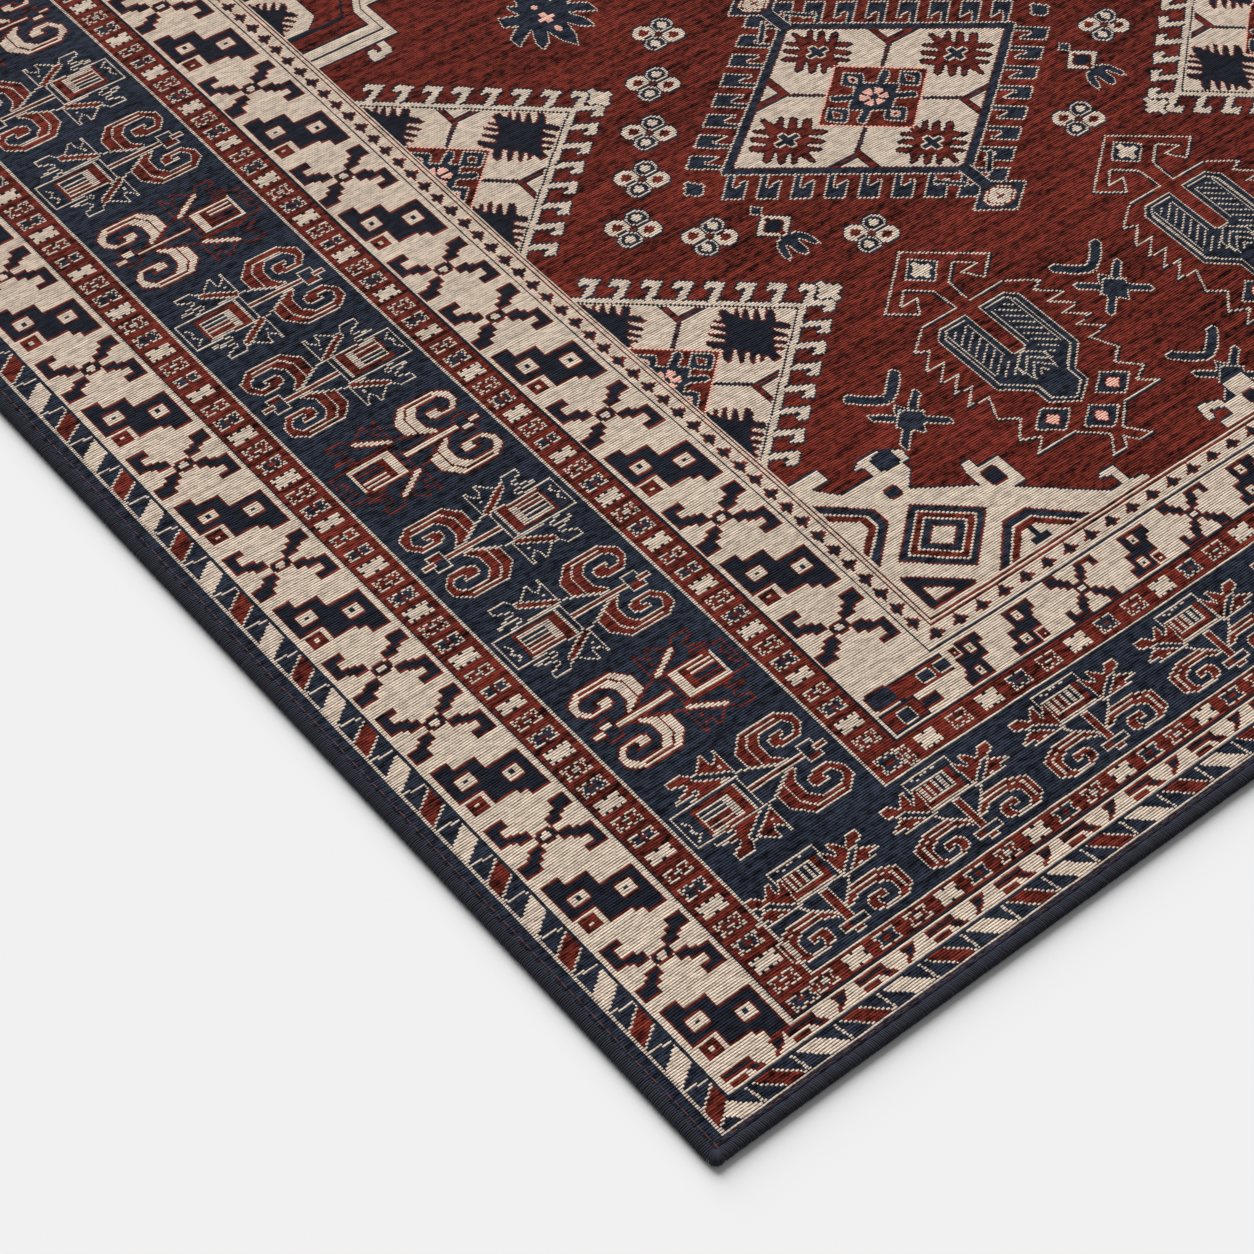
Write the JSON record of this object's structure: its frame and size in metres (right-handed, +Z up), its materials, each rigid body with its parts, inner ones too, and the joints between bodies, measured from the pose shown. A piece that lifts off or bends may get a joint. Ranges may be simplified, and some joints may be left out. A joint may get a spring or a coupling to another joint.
{
  "type": "area rug",
  "caption": "Rectangular flat-woven area rug with a bordered tribal design, a bonded backing and serged edges, lying flat.",
  "frame": {"origin": "middle of the rug's underside, on the floor", "axes": "+X across the width, parallel to the ribs of the weave; +Y along the length; +Z up"},
  "size_m": [1.829, 2.743, 0.0059],
  "materials": {
    "face_yarn": "dry matt wool, ribbed flat weave in madder red, indigo and undyed cream",
    "latex": "matt, slightly tacky latex",
    "backing": "plain undyed cotton cloth",
    "filler_cord": "soft twisted cotton cord",
    "serging_yarn": "matt indigo yarn, close wrapped",
    "needle_thread": "thin rust-red thread",
    "bobbin_thread": "thin rust-red thread"
  },
  "bodies": {
    "root": {"woven_face": "face_yarn", "latex_bond_coat": "latex", "backing_cloth": "backing", "edge_filler_cord": "filler_cord", "serging_front": "serging_yarn", "serging_back": "serging_yarn", "serging_left": "serging_yarn", "serging_right": "serging_yarn", "corner_serging_front_left": "serging_yarn", "corner_serging_front_right": "serging_yarn", "corner_serging_back_left": "serging_yarn", "corner_serging_back_right": "serging_yarn", "needle_thread_front": "needle_thread", "needle_thread_back": "needle_thread", "needle_thread_left": "needle_thread", "needle_thread_right": "needle_thread", "bobbin_thread_front": "bobbin_thread", "bobbin_thread_back": "bobbin_thread", "bobbin_thread_left": "bobbin_thread", "bobbin_thread_right": "bobbin_thread"}
  },
  "joints": []
}
